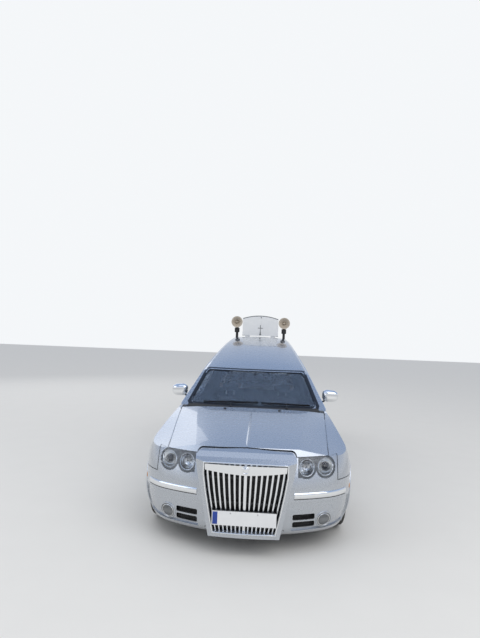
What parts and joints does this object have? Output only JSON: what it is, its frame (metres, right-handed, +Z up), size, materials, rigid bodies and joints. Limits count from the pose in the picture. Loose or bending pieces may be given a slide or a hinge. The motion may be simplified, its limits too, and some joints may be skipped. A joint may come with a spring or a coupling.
{
  "type": "hearse",
  "caption": "Silver estate hearse with a long rear roof, rear side windows, a chrome bar grille, a lit roof sign, roof horns and a coffin deck.",
  "frame": {"origin": "on the ground under the centre of the car's bounding box", "axes": "+X to the car's left (driver's side), +Y from nose to tail, +Z up"},
  "size_m": [2.033, 5.9801, 2.1499],
  "materials": {
    "black_plastic": "matte",
    "chrome": "polished",
    "clear_lens": "clear",
    "dark_glass": "tinted",
    "dash_plastic": "grained",
    "deck_wood": "satin",
    "horn_beige": "satin",
    "iron": "rough",
    "lamp_housing": "bright",
    "paint": "silver metallic",
    "red_lens": "gloss",
    "seat_cloth": "woven",
    "sign_white": "satin",
    "steel": "satin",
    "tyre": "matte",
    "underbody": "satin black",
    "wheel_alloy": "satin",
    "white_plate": "gloss"
  },
  "bodies": {
    "vehicle_body": {"arch_liners": "black_plastic", "body_shell": "underbody", "body_sides": "paint", "bumper_strips": "chrome", "coffin_deck": "deck_wood", "dashboard": "dash_plastic", "deck_rails": "steel", "engine_block": "iron", "exhaust": "steel", "fog_lamps": "lamp_housing", "front_bumper": "paint", "front_fenders": "paint", "front_seats": "seat_cloth", "front_suspension": "iron", "fuel_tank": "black_plastic", "grille_bars": "chrome", "grille_surround": "paint", "grille_top_bar": "chrome", "headlamp_housings": "lamp_housing", "headlamp_lenses": "clear_lens", "number_plate": "white_plate", "partition": "dash_plastic", "plate_holder": "black_plastic", "rear_bumper": "paint", "rear_lamps": "red_lens", "rear_suspension": "iron", "roof_horns": "horn_beige", "roof_panel": "paint", "roof_rails": "chrome", "roof_sign": "sign_white", "side_windows": "dark_glass", "windscreen": "dark_glass", "wipers": "black_plastic"},
    "hood": {"hood": "paint"},
    "door_left": {"door_left": "paint", "door_glass_left": "dark_glass", "mirror_left": "paint"},
    "door_right": {"door_right": "paint", "door_glass_right": "dark_glass", "mirror_right": "paint"},
    "tailgate": {"tailgate": "paint", "tailgate_glass": "dark_glass"},
    "knuckle_left": {"knuckle_left": "iron"},
    "knuckle_right": {"knuckle_right": "iron"},
    "steering_wheel": {"steering_wheel": "dash_plastic"},
    "wheel_front_left": {"rim_front_left": "wheel_alloy", "tyre_front_left": "tyre"},
    "wheel_front_right": {"rim_front_right": "wheel_alloy", "tyre_front_right": "tyre"},
    "wheel_rear_left": {"rim_rear_left": "wheel_alloy", "tyre_rear_left": "tyre"},
    "wheel_rear_right": {"rim_rear_right": "wheel_alloy", "tyre_rear_right": "tyre"}
  },
  "joints": [
    {"name": "hood_hinge", "type": "hinge", "parent": "vehicle_body", "child": "hood", "pos_m": [0, -1.605, 0.93], "axis": [-1, 0, 0], "range_deg": [0, 50]},
    {"name": "door_left_hinge", "type": "hinge", "parent": "vehicle_body", "child": "door_left", "pos_m": [0.924, -1.34, 0.6], "axis": [0, 0, -1], "range_deg": [0, 65]},
    {"name": "door_right_hinge", "type": "hinge", "parent": "vehicle_body", "child": "door_right", "pos_m": [-0.924, -1.34, 0.6], "axis": [0, 0, 1], "range_deg": [0, 65]},
    {"name": "tailgate_hinge", "type": "hinge", "parent": "vehicle_body", "child": "tailgate", "pos_m": [0, 2.582, 1.7], "axis": [1, 0, 0], "range_deg": [0, 85]},
    {"name": "steer_left", "type": "hinge", "parent": "vehicle_body", "child": "knuckle_left", "pos_m": [0.7145, -2.085, 0.3635], "axis": [0, 0, 1], "range_deg": [-35, 35]},
    {"name": "steer_right", "type": "hinge", "parent": "vehicle_body", "child": "knuckle_right", "pos_m": [-0.7145, -2.085, 0.3635], "axis": [0, 0, 1], "range_deg": [-35, 35]},
    {"name": "steering_wheel_turn", "type": "hinge", "parent": "vehicle_body", "child": "steering_wheel", "pos_m": [0.37, -0.7, 0.87], "axis": [0, 0.9135, 0.4067], "range_deg": [-525, 525]},
    {"name": "wheel_front_left_spin", "type": "hinge", "parent": "knuckle_left", "child": "wheel_front_left", "pos_m": [0.8, -2.085, 0.3635], "axis": [1, 0, 0], "continuous": true},
    {"name": "wheel_front_right_spin", "type": "hinge", "parent": "knuckle_right", "child": "wheel_front_right", "pos_m": [-0.8, -2.085, 0.3635], "axis": [1, 0, 0], "continuous": true},
    {"name": "wheel_rear_left_spin", "type": "hinge", "parent": "vehicle_body", "child": "wheel_rear_left", "pos_m": [0.8, 1.945, 0.3635], "axis": [1, 0, 0], "continuous": true},
    {"name": "wheel_rear_right_spin", "type": "hinge", "parent": "vehicle_body", "child": "wheel_rear_right", "pos_m": [-0.8, 1.945, 0.3635], "axis": [1, 0, 0], "continuous": true}
  ],
  "couplings": [
    {"joint": "steer_right", "follows": "steer_left", "ratio": 1},
    {"joint": "steering_wheel_turn", "follows": "steer_left", "ratio": 15}
  ]
}
